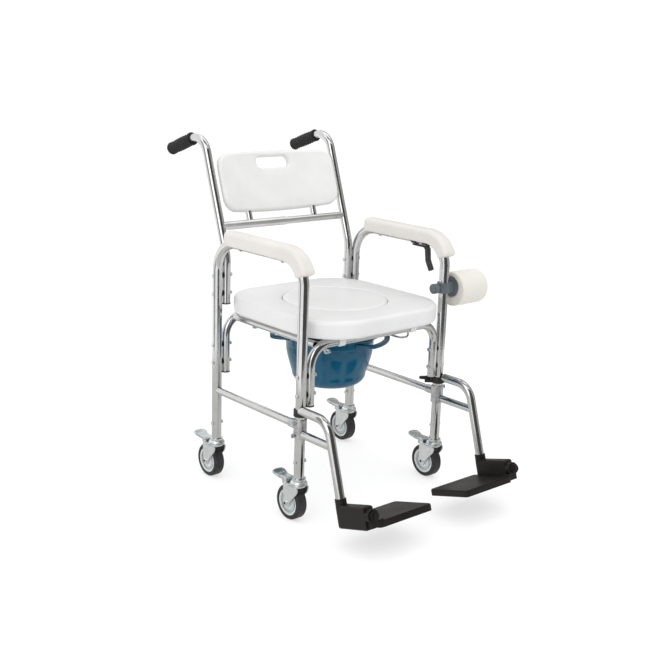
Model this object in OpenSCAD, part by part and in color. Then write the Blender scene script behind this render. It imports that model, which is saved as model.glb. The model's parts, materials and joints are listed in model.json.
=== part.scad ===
// Wheeled shower and commode chair: bent aluminium tube frame, lift-out pan,
// padded seat with a lift-out lid, swing-away footrests and four braked casters.
// Axes: +Z up, front of the chair faces -Y, the sitter's left hand is +X.

/* [Frame] */
// half of the distance between the left and right leg axes
half_track = 235; // [215:1:260]
// half of the distance between the front and rear leg axes
half_base = 173; // [150:1:200]
// outside diameter of the leg and arm tube
tube_d = 25.4; // [22:0.1:30]
// outside diameter of the seat, cane and hanger tube
small_d = 22; // [19:0.5:25]
// wall thickness of all tubes
wall = 1.6; // [1.2:0.1:2.5]
// height of the arm tube axis above the floor
arm_z = 642.5; // [600:0.5:700]
// bend radius at the front of the arm
front_bend = 60; // [50:1:80]
// bend radius at the rear of the arm
rear_bend = 80; // [60:1:100]
// height of the bottom end of the legs
leg_bottom = 113; // [105:1:130]
// height of the lower side rails
rail_z = 245; // [220:1:270]

/* [Seat] */
// distance from the chair's middle to the seat tube axes
seat_tube_x = 208; // [190:1:210]
// height of the seat frame tube axis
seat_frame_z = 438; // [420:1:460]
// half of the seat width
seat_half_w = 217; // [200:1:219]
// seat thickness
seat_t = 44; // [35:1:60]
// diameter of the lift-out lid
lid_d = 272; // [240:1:290]
// diameter of the seat opening
opening_d = 224; // [200:1:235]

/* [Back] */
// angle of the back canes from the vertical
cane_lean = 19.2; // [10:0.1:25]
// height of the bend where the canes start to lean
cane_bend_z = 597; // [580:1:620]
// length of a hand grip
grip_len = 103; // [90:1:120]
// width of the backrest panel
panel_w = 384; // [360:1:390]
// height of the backrest panel along its slope
panel_h = 164; // [140:1:200]

/* [Casters] */
// wheel diameter
wheel_d = 88; // [75:1:100]
// distance from the swivel axis back to the wheel axle
trail = 25; // [18:1:32]
// width of the tyre
tyre_w = 28; // [22:1:32]

/* [Footrests] */
// forward lean of the footrest hangers from the vertical
hanger_lean = 17; // [10:0.5:22]
// length of the foot plate across the chair
plate_len = 166; // [130:1:185]
// depth of the foot plate from front to back
plate_depth = 127; // [100:1:140]
// thickness of the foot plate
plate_t = 16; // [13:1:22]

/* [Bucket] */
// largest radius of the pan body
pan_r = 113.5; // [100:0.5:113.5]
// height of the pan
pan_h = 137; // [110:1:150]

/* [Roll] */
// paper roll diameter
roll_d = 91; // [80:1:120]
// paper roll length
roll_len = 100; // [90:1:110]

/* [Hidden] */
$fn = 64;
eps = 0.05;
// a straight tube runs this far into a bend that leans
lap = 0.5;
// and the wall of that bend is thicker by this much on both sides
bend_skin = 0.1;
// shift that puts the row origin under the middle of the bounding box
shift_x = -52.4;
shift_y = 12.5;
bolt_d = 6;
hole_d = 6.2;
hx = half_track;
hy = half_base;
tr = tube_d / 2;
sr = small_d / 2;
seat_z0 = 455;
seat_z1 = seat_z0 + seat_t;
seat_y0 = -235;
seat_y1 = 206;
seat_corner = 116;
seat_bolt_z = [320.5, 367];
cane_bolt_z = [502, 549];
stem_bolt_z = 154.5;
u_bottom = 293;
u_bend = 50;
seat_rail_x = 186;
wire_d = 5.5;
wire_x = 116.5;
wire_z = 404;
wire_bend = 12.5;
wire_rise = 6.5;
wire_end_x = wire_x + 25;
wire_end_y = 145;
seat_rail_d = 16;
seat_rail_z = 436.5;
cane_bottom = 476;
cane_bend_r = 100;
cane_top_r = 50;
cane_run = 318.7;
cross_z = 670;
cross_y = hy + (cross_z - cane_bend_z) * tan(cane_lean);
panel_s = 107;
panel_r = 740;
panel_arch = 1680;
slot_z = 131.5;
panel_t = 20;
stub_x = 108.5;
stub_d = 17;
stub_back = 7;
rail_d = 19;
sleeve_d = 32;
sleeve_z0 = 233;
sleeve_z1 = 263;
hang_x = 240;
hang_z = 286.5;
hang_bend = 50;
hang_turn = 90 - hanger_lean;
hang_foot_y = -336.2;
hang_foot_z = 98.5;
hang_arc_end_z = hang_z - hang_bend + hang_bend * cos(hang_turn);
hang_arc_y = hang_foot_y + (hang_arc_end_z - hang_foot_z) * tan(hanger_lean)
  + hang_bend * sin(hang_turn);
ring_d = 34;
ring_z0 = 271;
ring_z1 = 287;
latch_r = 27;
low_ring_z0 = 217.5;
low_ring_z1 = 232.5;
low_bar_z = 228;
run_gap = 0.06;
hinge_z = -18;
plate_top = -32.5;
block_y1 = -92;
block_w = 28;
block_z0 = -50;
block_z1 = 4;
lug_y1 = -106;
wheel_r = wheel_d / 2;
fork_in = 15.6;
fork_out = 18.2;
crown_z0 = 91;
crown_z1 = 96;
race_z1 = 107.9;
roll_x0 = 262;
spindle_z = 528.6;
spindle_r = 12;
core_r = 20;
roll_z = spindle_z - (core_r - spindle_r) + eps;

// [all, or the name of one node]

// ---------- helpers ----------
module place() {
  translate([shift_x, shift_y, 0]) children();
}

module ring2d(d) {
  difference() {
    circle(d = d);
    circle(d = d - 2 * wall);
  }
}

// hollow tube along +Z
module pipe(d, h) {
  linear_extrude(h) ring2d(d);
}

// bent tube in the YZ plane, angles measured from +Y towards +Z
module bend_yz(r, d, a0, a1, skin = 0) {
  rotate([90, 0, 90]) rotate([0, 0, a0])
    rotate_extrude(angle = a1 - a0) translate([r, 0]) difference() {
      circle(d = d + 2 * skin);
      circle(d = d - 2 * wall - 2 * skin);
    }
}

// bent tube in the XZ plane, angles measured from +X towards +Z
module bend_xz(r, d, a0, a1) {
  rotate([90, 0, 0]) rotate([0, 0, a0])
    rotate_extrude(angle = a1 - a0) translate([r, 0]) ring2d(d);
}

// rod along X through a point, centred
module x_rod(d, l) {
  rotate([0, 90, 0]) cylinder(d = d, h = l, center = true);
}

module y_rod(d, l) {
  rotate([90, 0, 0]) cylinder(d = d, h = l, center = true);
}

// outline with round corners, centred
module round_rect(w, h, r) {
  union() {
    square([w - 2 * r, h], center = true);
    square([w, h - 2 * r], center = true);
    for (i = [-1, 1], j = [-1, 1])
      translate([i * (w / 2 - r), j * (h / 2 - r)]) circle(r = r);
  }
}

// ---------- side frames ----------
module side_frame(s) {
  color([0.78, 0.79, 0.80]) place() translate([s * hx, 0, 0]) difference() {
    union() {
      translate([0, -hy, leg_bottom]) pipe(tube_d, arm_z - front_bend - leg_bottom);
      translate([0, front_bend - hy, arm_z - front_bend])
        bend_yz(front_bend, tube_d, 90, 180);
      translate([0, hy - rear_bend, arm_z]) rotate([90, 0, 0])
        pipe(tube_d, 2 * hy - front_bend - rear_bend);
      translate([0, hy - rear_bend, arm_z - rear_bend])
        bend_yz(rear_bend, tube_d, 0, 90);
      translate([0, hy, leg_bottom]) pipe(tube_d, arm_z - rear_bend - leg_bottom);
    }
    for (z = seat_bolt_z, j = [-1, 1]) translate([0, j * hy, z]) x_rod(hole_d, 40);
    for (z = cane_bolt_z) translate([0, hy, z]) x_rod(hole_d, 40);
    for (j = [-1, 1]) translate([0, j * hy, stem_bolt_z]) x_rod(hole_d, 40);
    translate([-s * 12, hy, 578]) x_rod(8, 12);
    for (y = [73, -93]) translate([0, y, arm_z]) cylinder(d = 5.2, h = 40, center = true);
  }
}

module side_frame_right() {
  side_frame(-1);
}

module side_frame_left() {
  side_frame(1);
}

module lower_rails() {
  color([0.76, 0.77, 0.78]) place() for (s = [-1, 1]) translate([s * hx, 0, 0])
    difference() {
      translate([0, hy, rail_z]) rotate([90, 0, 0]) pipe(rail_d, 2 * hy - 16.6);
      translate([0, hy, rail_z - 40]) cylinder(r = tr + eps, h = 80);
    }
}

module rail_sleeves() {
  color([0.70, 0.71, 0.72]) place() for (s = [-1, 1]) translate([s * hx, -hy, 0])
    difference() {
      union() {
        translate([0, 0, sleeve_z0]) cylinder(d = sleeve_d, h = sleeve_z1 - sleeve_z0);
        translate([0, 21, rail_z]) y_rod(22.6, 28);
        translate([s * 14, 0, 255]) x_rod(12, 12);
      }
      translate([0, 0, 200]) cylinder(r = tr + eps, h = 100);
      translate([0, 31.5, rail_z]) y_rod(rail_d + 2 * eps, 30);
      translate([s * 18, 0, 255]) x_rod(6.2, 12);
    }
}

// wing screws that lock the sleeves on the legs
module wing_screw(s) {
  union() {
    translate([s * 7.9, 0, 0]) x_rod(6, 12);
    translate([s * 14.5, 0, 0]) x_rod(10, 4.5);
    for (j = [-1, 1]) translate([s * 17, j * 7.5, 3]) rotate([j * 35, 0, 0])
      scale([0.35, 1, 0.62]) sphere(r = 9, $fn = 32);
  }
}

module sleeve_screws() {
  color([0.60, 0.61, 0.62]) place() for (s = [-1, 1])
    translate([s * (hx + 11), -hy, 255]) wing_screw(s);
}

// ---------- seat frame ----------
module seat_u(j) {
  color([0.77, 0.78, 0.79]) place() translate([0, j * hy, 0]) difference() {
    union() {
      for (s = [-1, 1]) {
        translate([s * seat_tube_x, 0, u_bottom])
          pipe(small_d, seat_frame_z - u_bend - u_bottom);
        translate([s * (seat_tube_x - u_bend), 0, seat_frame_z - u_bend])
          bend_xz(u_bend, small_d, s > 0 ? 0 : 90, s > 0 ? 90 : 180);
      }
      translate([-(seat_tube_x - u_bend), 0, seat_frame_z]) rotate([0, 90, 0])
        pipe(small_d, 2 * (seat_tube_x - u_bend));
    }
    for (z = seat_bolt_z, s = [-1, 1])
      translate([s * seat_tube_x, 0, z]) x_rod(hole_d, 40);
  }
}

module seat_frame_front() {
  seat_u(-1);
}

module seat_frame_rear() {
  seat_u(1);
}

module seat_rails() {
  color([0.75, 0.76, 0.77]) place() for (s = [-1, 1])
    translate([s * seat_rail_x, 0, seat_rail_z]) difference() {
      translate([0, hy, 0]) rotate([90, 0, 0]) pipe(seat_rail_d, 2 * hy);
      for (j = [-1, 1]) translate([0, j * hy, 0]) cube([60, 2 * sr + 2 * eps, 60], center = true);
    }
}

// wire guides that the pan flange hangs on, their ends held in the seat
module wire_guide(s) {
  flat = wire_end_x - wire_rise - wire_x - wire_bend;
  union() {
    translate([s * wire_x, 0, wire_z]) y_rod(wire_d, 2 * (wire_end_y - wire_bend));
    for (j = [-1, 1]) {
      translate([s * (wire_x + wire_bend), j * (wire_end_y - wire_bend), wire_z])
        rotate([0, 0, s > 0 ? (j > 0 ? 90 : 180) : (j > 0 ? 0 : 270)])
          rotate_extrude(angle = 90) translate([wire_bend, 0]) circle(d = wire_d);
      translate([s * (wire_x + wire_bend + flat / 2), j * wire_end_y, wire_z])
        x_rod(wire_d, flat);
      translate([s * (wire_end_x - wire_rise), j * wire_end_y, wire_z + wire_rise])
        rotate([90, 0, 0]) rotate([0, 0, s > 0 ? 270 : 180])
          rotate_extrude(angle = 90) translate([wire_rise, 0]) circle(d = wire_d);
      translate([s * wire_end_x, j * wire_end_y, wire_z + wire_rise])
        cylinder(d = wire_d, h = seat_z0 + 12 - wire_z - wire_rise);
    }
  }
}

module bucket_rails() {
  color([0.66, 0.67, 0.69]) place() for (s = [-1, 1]) wire_guide(s);
}

// plastic clips between the seat tube and the seat
module seat_clips() {
  color([0.86, 0.86, 0.82]) place() for (s = [-1, 1], j = [-1, 1])
    translate([s * 120, j * hy, seat_frame_z]) difference() {
      union() {
        x_rod(28, 20);
        translate([0, 0, 9]) cube([20, 24, 2 * (seat_z0 - seat_frame_z - 9 - eps)], center = true);
      }
      x_rod(small_d + 2 * eps, 30);
      translate([0, 0, -18]) cube([30, 17, 20], center = true);
    }
}

// through bolts with a domed head outside and a nut inside
module bolt(s, l) {
  union() {
    x_rod(bolt_d, l);
    translate([s * (l / 2 + 1), 0, 0]) x_rod(11, 2);
    translate([s * (l / 2 + 2.6), 0, 0]) x_rod(8, 1.3);
    translate([-s * (l / 2 - 3.4), 0, 0]) rotate([0, 90, 0])
      cylinder(d = 11, h = 5, center = true, $fn = 6);
  }
}

module frame_bolts() {
  seat_mid = (hx + tr + seat_tube_x - sr) / 2;
  bolt_l = hx + tr - seat_tube_x + sr + 6;
  color([0.62, 0.62, 0.62]) place() for (s = [-1, 1]) {
    for (j = [-1, 1]) {
      for (z = seat_bolt_z)
        translate([s * (seat_mid - 3 + eps), j * hy, z]) bolt(s, bolt_l);
      translate([s * (hx - 3 + eps), j * hy, stem_bolt_z]) bolt(s, 2 * tr + 6);
    }
    for (z = cane_bolt_z)
      translate([s * (seat_mid - 3 + eps), hy, z]) bolt(s, bolt_l);
  }
}

module frame_spacers() {
  gap = hx - tr - seat_tube_x - sr;
  spacer_x = seat_tube_x + sr + gap / 2;
  color([0.25, 0.25, 0.26]) place() for (s = [-1, 1]) {
    for (j = [-1, 1], z = seat_bolt_z) translate([s * spacer_x, j * hy, z])
      difference() {
        x_rod(15, gap - 2 * eps);
        x_rod(hole_d, 20);
      }
    for (z = cane_bolt_z) translate([s * spacer_x, hy, z]) difference() {
      x_rod(15, gap - 2 * eps);
      x_rod(hole_d, 20);
    }
  }
}

module tube_cap() {
  plug_r = sr - wall - eps;
  union() {
    cylinder(r = plug_r, h = 12);
    translate([0, 0, -3]) cylinder(r = sr + 0.6, h = 3 - eps);
    translate([0, 0, -1]) cylinder(r = plug_r, h = 2);
  }
}

module tube_caps() {
  color([0.10, 0.10, 0.10]) place() for (s = [-1, 1]) {
    for (j = [-1, 1]) translate([s * seat_tube_x, j * hy, u_bottom]) tube_cap();
    translate([s * seat_tube_x, hy, cane_bottom]) tube_cap();
  }
}

// ---------- back ----------
module lean_frame(s) {
  translate([s * seat_tube_x, hy, cane_bend_z]) rotate([-cane_lean, 0, 0]) children();
}

module back_cane(s) {
  t1 = cane_bend_r * tan(cane_lean / 2);
  color([0.78, 0.79, 0.80]) place() difference() {
    union() {
      translate([s * seat_tube_x, hy, cane_bottom])
        pipe(small_d, cane_bend_z - t1 - cane_bottom + lap);
      translate([s * seat_tube_x, hy + cane_bend_r, cane_bend_z - t1])
        bend_yz(cane_bend_r, small_d, 180 - cane_lean, 180, bend_skin);
      lean_frame(s) translate([0, 0, t1 - lap]) pipe(small_d, cane_run - cane_top_r - t1 + 2 * lap);
      lean_frame(s) translate([0, cane_top_r, cane_run - cane_top_r])
        bend_yz(cane_top_r, small_d, 90, 180, bend_skin);
      lean_frame(s) translate([0, cane_top_r - lap, cane_run]) rotate([-90, 0, 0])
        pipe(small_d, grip_len + lap);
    }
    for (z = cane_bolt_z) translate([s * seat_tube_x, hy, z]) x_rod(hole_d, 40);
  }
}

module back_cane_right() {
  back_cane(-1);
}

module back_cane_left() {
  back_cane(1);
}

module grip(s) {
  color([0.14, 0.14, 0.14]) place() lean_frame(s)
    translate([0, cane_top_r + 2, cane_run]) rotate([-90, 0, 0]) difference() {
      union() {
        cylinder(r = 14.6, h = grip_len + 2);
        cylinder(r = 17.4, h = 5);
        for (i = [0:7]) translate([0, 0, 10 + i * 11.4]) cylinder(r = 16.4, h = 6.6);
      }
      translate([0, 0, -1]) cylinder(r = sr + eps, h = grip_len - 1 + eps);
    }
}

module grip_right() {
  grip(-1);
}

module grip_left() {
  grip(1);
}

// solid stand-in of the two canes, used to cope the parts that meet them
module cane_cutter() {
  for (s = [-1, 1]) lean_frame(s) cylinder(r = sr + eps, h = 200);
}

module cross_bar_outer() {
  color([0.74, 0.75, 0.76]) place() difference() {
    translate([-seat_tube_x, cross_y, cross_z]) rotate([0, 90, 0]) cylinder(r = sr, h = seat_tube_x);
    translate([-seat_tube_x - 5, cross_y, cross_z]) rotate([0, 90, 0])
      cylinder(r = rail_d / 2 + eps, h = seat_tube_x + 10);
    cane_cutter();
  }
}

module cross_bar_inner() {
  color([0.79, 0.80, 0.81]) place() difference() {
    translate([-120, cross_y, cross_z]) rotate([0, 90, 0]) pipe(rail_d, seat_tube_x + 120);
    cane_cutter();
  }
}

module back_stubs() {
  color([0.76, 0.77, 0.78]) place() for (s = [-1, 1]) difference() {
    translate([s * stub_x, cross_y, cross_z]) rotate([-cane_lean, 0, 0])
      translate([0, stub_back, 0]) pipe(stub_d, 46);
    translate([0, cross_y, cross_z]) x_rod(small_d + 2 * eps, 400);
  }
}

module panel_frame() {
  translate([0, hy, cane_bend_z]) rotate([-cane_lean, 0, 0])
    translate([0, 0, panel_s]) children();
}

module backrest() {
  color([0.91, 0.91, 0.91]) place() difference() {
    panel_frame() difference() {
      intersection() {
        translate([0, 4 - panel_r, 0]) difference() {
          cylinder(r = panel_r + panel_t, h = panel_h, $fn = 360);
          translate([0, 0, -1]) cylinder(r = panel_r, h = panel_h + 2, $fn = 360);
        }
        translate([0, 60, panel_h / 2]) rotate([90, 0, 0])
          linear_extrude(120) round_rect(panel_w, panel_h, 36);
        translate([0, 60, panel_h - panel_arch]) rotate([90, 0, 0])
          cylinder(r = panel_arch, h = 120, $fn = 720);
      }
      translate([0, 60, slot_z]) rotate([90, 0, 0]) linear_extrude(120) round_rect(110, 31, 15.4);
    }
    for (s = [-1, 1]) translate([s * stub_x, cross_y, cross_z]) rotate([-cane_lean, 0, 0])
      translate([0, stub_back, 10]) cylinder(d = stub_d + 2 * eps, h = 36 + eps);
  }
}

// ---------- arm pads ----------
// pad section: X across, Y outwards from the tube axis
module pad_section() {
  difference() {
    translate([0, 12]) round_rect(40, 35, 9);
    circle(r = tr + eps);
    translate([0, -10]) square([tube_d + 2 * eps, 20], center = true);
  }
}

module arm_pad(s) {
  pad_rear = 122;
  pad_turn = 68;
  color([0.90, 0.88, 0.85]) place() translate([s * hx, 0, 0]) union() {
    translate([0, pad_rear, arm_z]) rotate([90, 0, 0])
      linear_extrude(pad_rear + hy - front_bend) pad_section();
    translate([0, front_bend - hy, arm_z - front_bend]) rotate([90, 0, 90])
      rotate([0, 0, 90]) rotate_extrude(angle = pad_turn) translate([front_bend, 0])
        rotate([0, 0, -90]) pad_section();
  }
}

module arm_pad_right() {
  arm_pad(-1);
}

module arm_pad_left() {
  arm_pad(1);
}

module arm_pad_screws() {
  color([0.55, 0.55, 0.56]) place() for (s = [-1, 1], y = [73, -93])
    translate([s * hx, y, arm_z]) union() {
      translate([0, 0, -tr - eps]) mirror([0, 0, 1]) cylinder(r1 = 5, r2 = 3.4, h = 2.8);
      translate([0, 0, -tr - 1]) cylinder(d = 4.6, h = 2 * tr);
    }
}

// ---------- seat ----------
module seat_outline(inset) {
  w = 2 * seat_half_w - 2 * inset;
  d = seat_y1 - seat_y0 - 2 * inset;
  translate([0, (seat_y0 + seat_y1) / 2]) round_rect(w, d, seat_corner - inset);
}

module seat() {
  lid_t = 14;
  color([0.91, 0.91, 0.92]) place() difference() {
    hull() {
      translate([0, 0, seat_z0 + 6]) linear_extrude(seat_t - 14) seat_outline(0);
      translate([0, 0, seat_z0]) linear_extrude(seat_t - 8) seat_outline(6);
      translate([0, 0, seat_z0 + 6]) linear_extrude(seat_t - 8.5) seat_outline(2.5);
      translate([0, 0, seat_z0 + 6]) linear_extrude(seat_t - 6) seat_outline(8);
    }
    translate([0, -15, seat_z0 - 1]) cylinder(d = opening_d, h = seat_t + 2);
    translate([0, -15, seat_z1 - lid_t]) cylinder(d = lid_d, h = lid_t + 1);
    for (s = [-1, 1], j = [-1, 1]) translate([s * wire_end_x, j * wire_end_y, seat_z0 - 1])
      cylinder(d = wire_d + 2 * eps, h = 14);
  }
}

module seat_lid() {
  lid_t = 14;
  color([0.92, 0.92, 0.93]) place() translate([0, -15, seat_z1 - lid_t]) union() {
    translate([0, 0, eps]) cylinder(d = lid_d - 2, h = lid_t - 2);
    translate([0, 0, lid_t - 2 + eps]) cylinder(d1 = lid_d - 2, d2 = lid_d - 8, h = 2);
    translate([0, 0, -10]) cylinder(d = opening_d - 3, h = 11);
  }
}

// ---------- pan ----------
// pan wall radius at a height above its bottom, above the bottom corner
function pan_wall(z) = pan_r - 16 * pow(max(0, 92 - z) / 62, 1.3);

// one quarter turn of the bottom corner, then the wall up to the flange
function pan_side(skin, top) = concat(
  [for (a = [0:15:75]) [67.5 + (30 - skin) * sin(a), skin + (30 - skin) * (1 - cos(a))]],
  [for (z = [30, 48, 66, 80, 92]) [pan_wall(z) - skin, z]],
  [[pan_r - skin, top]]);

module bucket() {
  flange_r = 134;
  flange_t = 3.2;
  skin = 2.4;
  band_r = 157;
  band_w = 15;
  z0 = wire_z + wire_d / 2 + eps + flange_t - pan_h;
  outer = concat([[0, 0]], pan_side(0, pan_h - flange_t),
    [[flange_r, pan_h - flange_t], [flange_r, pan_h]]);
  side = pan_side(skin, pan_h);
  inner = concat([for (i = [len(side) - 1:-1:0]) side[i]], [[0, skin]]);
  color([0.13, 0.36, 0.49]) place() translate([0, 0, z0]) union() {
    rotate_extrude() polygon(concat(outer, inner));
    for (q = [0, 180]) rotate([0, 0, q - 93]) translate([0, 0, pan_h - 19]) difference() {
      rotate_extrude(angle = 73) translate([pan_r - 1, 0])
        square([band_r - pan_r + 1, 9.5]);
      rotate([0, 0, 7]) translate([0, 0, -1]) rotate_extrude(angle = 59)
        translate([pan_r - 5, 0]) square([band_r - band_w - pan_r + 5, 12]);
    }
  }
}

// ---------- casters ----------
module corner(s, j) {
  translate([s * hx, j * hy, 0]) children();
}

module caster_stems() {
  stem_r = tr - wall - eps;
  color([0.62, 0.63, 0.65]) place() for (s = [-1, 1], j = [-1, 1]) corner(s, j) difference() {
    union() {
      translate([0, 0, 108]) cylinder(r = 17, h = leg_bottom - 108 - eps);
      translate([0, 0, 110]) cylinder(r = stem_r, h = 58);
      translate([0, 0, 98.2]) cylinder(r = 5, h = 12);
    }
    translate([0, 0, stem_bolt_z]) x_rod(hole_d, 40);
  }
}

// side plate outline in the YZ plane of the wheel
module fork_plate() {
  difference() {
    hull() {
      translate([trail, wheel_r]) circle(r = 9, $fn = 32);
      translate([-7, crown_z0 - 7]) circle(r = 7, $fn = 32);
      translate([28, crown_z0 - 7]) circle(r = 7, $fn = 32);
    }
    translate([-15.5, wheel_r + 4]) circle(r = 26.5);
  }
}

module fork(s, j) {
  color([0.66, 0.68, 0.69]) place() corner(s, j) union() {
    difference() {
      union() {
        for (i = [-1, 1]) translate([i * (fork_in + fork_out) / 2, 0, 0])
          rotate([90, 0, 90]) translate([0, 0, -(fork_out - fork_in) / 2])
            linear_extrude(fork_out - fork_in) fork_plate();
        translate([0, 11, (crown_z0 + crown_z1) / 2 - 1])
          cube([2 * fork_out, 46, crown_z1 - crown_z0 + 2], center = true);
        cylinder_race();
        for (i = [-1, 1]) translate([i * 16.9, 29, 100]) cube([2.6, 10, 12], center = true);
      }
      translate([0, 0, 97]) cylinder(r = 5 + run_gap, h = 20);
      translate([0, 29, 102]) x_rod(5 + 2 * run_gap, 60);
      translate([0, trail, wheel_r]) x_rod(8, 60);
    }
    translate([0, trail, wheel_r]) union() {
      x_rod(8 - 2 * run_gap, 2 * fork_out + 2);
      for (i = [-1, 1]) translate([i * (fork_out + 1.6 + eps), 0, 0]) rotate([0, 90, 0])
        cylinder(d = 13, h = 3.2, center = true, $fn = 6);
    }
    thread_guard();
  }
}

module cylinder_race() {
  union() {
    translate([0, 0, crown_z1 - 1]) cylinder(r = 20.5, h = 6);
    translate([0, 0, crown_z1 + 4]) cylinder(r = 21.5, h = 3);
    translate([0, 0, crown_z1 + 6]) cylinder(r1 = 20.5, r2 = 17, h = race_z1 - crown_z1 - 6);
  }
}

// curved strip over the front of the tyre
module thread_guard() {
  translate([0, trail, wheel_r]) rotate([90, 0, 90]) rotate([0, 0, 92])
    translate([0, 0, -15]) rotate_extrude(angle = 58)
      translate([wheel_r + 1.2, 0]) square([2, 30]);
}

module hub(s, j) {
  color([0.80, 0.82, 0.83]) place() corner(s, j) translate([0, trail, wheel_r])
    rotate([0, 90, 0]) difference() {
      union() {
        cylinder(r = 33, h = 20, center = true);
        cylinder(r = 10, h = 30.6, center = true);
        for (i = [-1, 1]) translate([0, 0, i * 11]) difference() {
          cylinder(r = 33, h = 4, center = true);
          cylinder(r = 28.5, h = 5, center = true);
        }
      }
      cylinder(r = 4, h = 60, center = true);
    }
}

module tyre(s, j) {
  shoulder = 5;
  color([0.24, 0.24, 0.25]) place() corner(s, j) translate([0, trail, wheel_r])
    rotate([0, 90, 0]) rotate_extrude() union() {
      translate([33 + eps, -tyre_w / 2]) square([wheel_r - 33 - eps - shoulder, tyre_w]);
      translate([33 + eps, -tyre_w / 2 + shoulder])
        square([wheel_r - 33 - eps, tyre_w - 2 * shoulder]);
      for (i = [-1, 1]) translate([wheel_r - shoulder, i * (tyre_w / 2 - shoulder)])
        circle(r = shoulder);
    }
}

// brake pedal, pivots on two ears of the fork
module pedal(s, j) {
  color([0.55, 0.58, 0.59]) place() corner(s, j) union() {
    translate([0, 29, 102]) x_rod(5, 2 * fork_out + 1);
    translate([0, 29, 102]) x_rod(8, 28);
    rotate([90, 0, 90]) translate([0, 0, -13]) linear_extrude(26)
      polygon([[29, 99.6], [41, 99.6], [42, 88.6], [50, 85.2], [52, 99.8], [64, 101.2],
        [78, 105], [77.4, 107.4], [62, 104.6], [48, 104], [29, 105]]);
    translate([0, 74, 105.6]) rotate([15, 0, 0]) translate([0, 0, -1.5])
      linear_extrude(3) round_rect(36, 27, 9);
  }
}

module fork_front_right() {
  fork(-1, -1);
}

module fork_front_left() {
  fork(1, -1);
}

module fork_rear_right() {
  fork(-1, 1);
}

module fork_rear_left() {
  fork(1, 1);
}

module hub_front_right() {
  hub(-1, -1);
}

module hub_front_left() {
  hub(1, -1);
}

module hub_rear_right() {
  hub(-1, 1);
}

module hub_rear_left() {
  hub(1, 1);
}

module tyre_front_right() {
  tyre(-1, -1);
}

module tyre_front_left() {
  tyre(1, -1);
}

module tyre_rear_right() {
  tyre(-1, 1);
}

module tyre_rear_left() {
  tyre(1, 1);
}

module pedal_front_right() {
  pedal(-1, -1);
}

module pedal_front_left() {
  pedal(1, -1);
}

module pedal_rear_right() {
  pedal(-1, 1);
}

module pedal_rear_left() {
  pedal(1, 1);
}

// ---------- footrests ----------
// frame at the lower end of a hanger, Z up along the hanger
module foot_frame(s) {
  translate([s * hang_x, hang_foot_y, hang_foot_z]) rotate([-hanger_lean, 0, 0]) children();
}

module hanger(s) {
  drop = (hang_arc_end_z - hang_foot_z) / cos(hanger_lean);
  color([0.78, 0.79, 0.80]) place() union() {
    difference() {
      union() {
        translate([s * hang_x, -hy - 8, hang_z]) rotate([90, 0, 0])
          pipe(small_d, -hy - 8 - hang_arc_y + lap);
        translate([s * hang_x, hang_arc_y, hang_z - hang_bend])
          bend_yz(hang_bend, small_d, 90, 90 + hang_turn, bend_skin);
        foot_frame(s) pipe(small_d, drop + lap);
      }
      translate([s * hx, -hy, 200]) cylinder(d = ring_d + 2 * eps, h = 120);
    }
    difference() {
      translate([s * (hang_x - 2), -189.55, low_bar_z]) rotate([90, 0, 0]) pipe(rail_d, 107);
      foot_frame(s) translate([0, 0, 90]) cylinder(r = sr - 0.2, h = 90);
    }
  }
}

module hanger_right() {
  hanger(-1);
}

module hanger_left() {
  hanger(1);
}

// clamp rings that carry the hanger and turn on the leg
module hanger_clamps(s) {
  color([0.60, 0.61, 0.62]) place() translate([s * hx, -hy, 0]) difference() {
    union() {
      translate([0, 0, ring_z0]) cylinder(d = ring_d, h = ring_z1 - ring_z0);
      translate([0, 0, low_ring_z0]) cylinder(d = ring_d - 1, h = low_ring_z1 - low_ring_z0);
      rotate([0, 0, s > 0 ? 135 : 45]) translate([24, 0, ring_z0 + 4])
        cube([22, 15, 8], center = true);
      translate([s * 19, 0, (low_ring_z0 + low_ring_z1) / 2]) x_rod(11, 7);
      for (j = [-1, 1]) translate([s * 25.5, j * 6.5, (low_ring_z0 + low_ring_z1) / 2])
        rotate([j * 35, 0, 0]) scale([0.35, 1, 0.62]) sphere(r = 9, $fn = 32);
      translate([s * 24, 0, (low_ring_z0 + low_ring_z1) / 2]) x_rod(8, 5);
    }
    translate([0, 0, 150]) cylinder(r = tr + run_gap, h = 200);
    rotate([0, 0, s > 0 ? 135 : 45]) translate([latch_r, 0, 250])
      cylinder(r = 2.5 + run_gap, h = 60);
  }
}

module hanger_clamps_right() {
  hanger_clamps(-1);
}

module hanger_clamps_left() {
  hanger_clamps(1);
}

module latch(s) {
  color([0.08, 0.08, 0.08]) place() translate([s * hx, -hy, ring_z0 + 8])
    rotate([0, 0, s > 0 ? 135 : 45]) union() {
      hull() {
        translate([latch_r, 0, eps]) cylinder(r = 7, h = 6.6);
        translate([42, 0, eps]) cylinder(r = 8, h = 5);
      }
      translate([latch_r, 0, -8]) cylinder(r = 2.5, h = 15);
      translate([latch_r, 0, 6]) cylinder(r = 4.5, h = 2.4);
    }
}

module latch_right() {
  latch(-1);
}

module latch_left() {
  latch(1);
}

// plan of the block: rounded around the tube, straight towards the front
module block_plan(inset) {
  union() {
    circle(r = block_w / 2 - inset, $fn = 32);
    translate([-block_w / 2 + inset, block_y1 + inset])
      square([block_w - 2 * inset, -block_y1 - inset]);
  }
}

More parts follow.
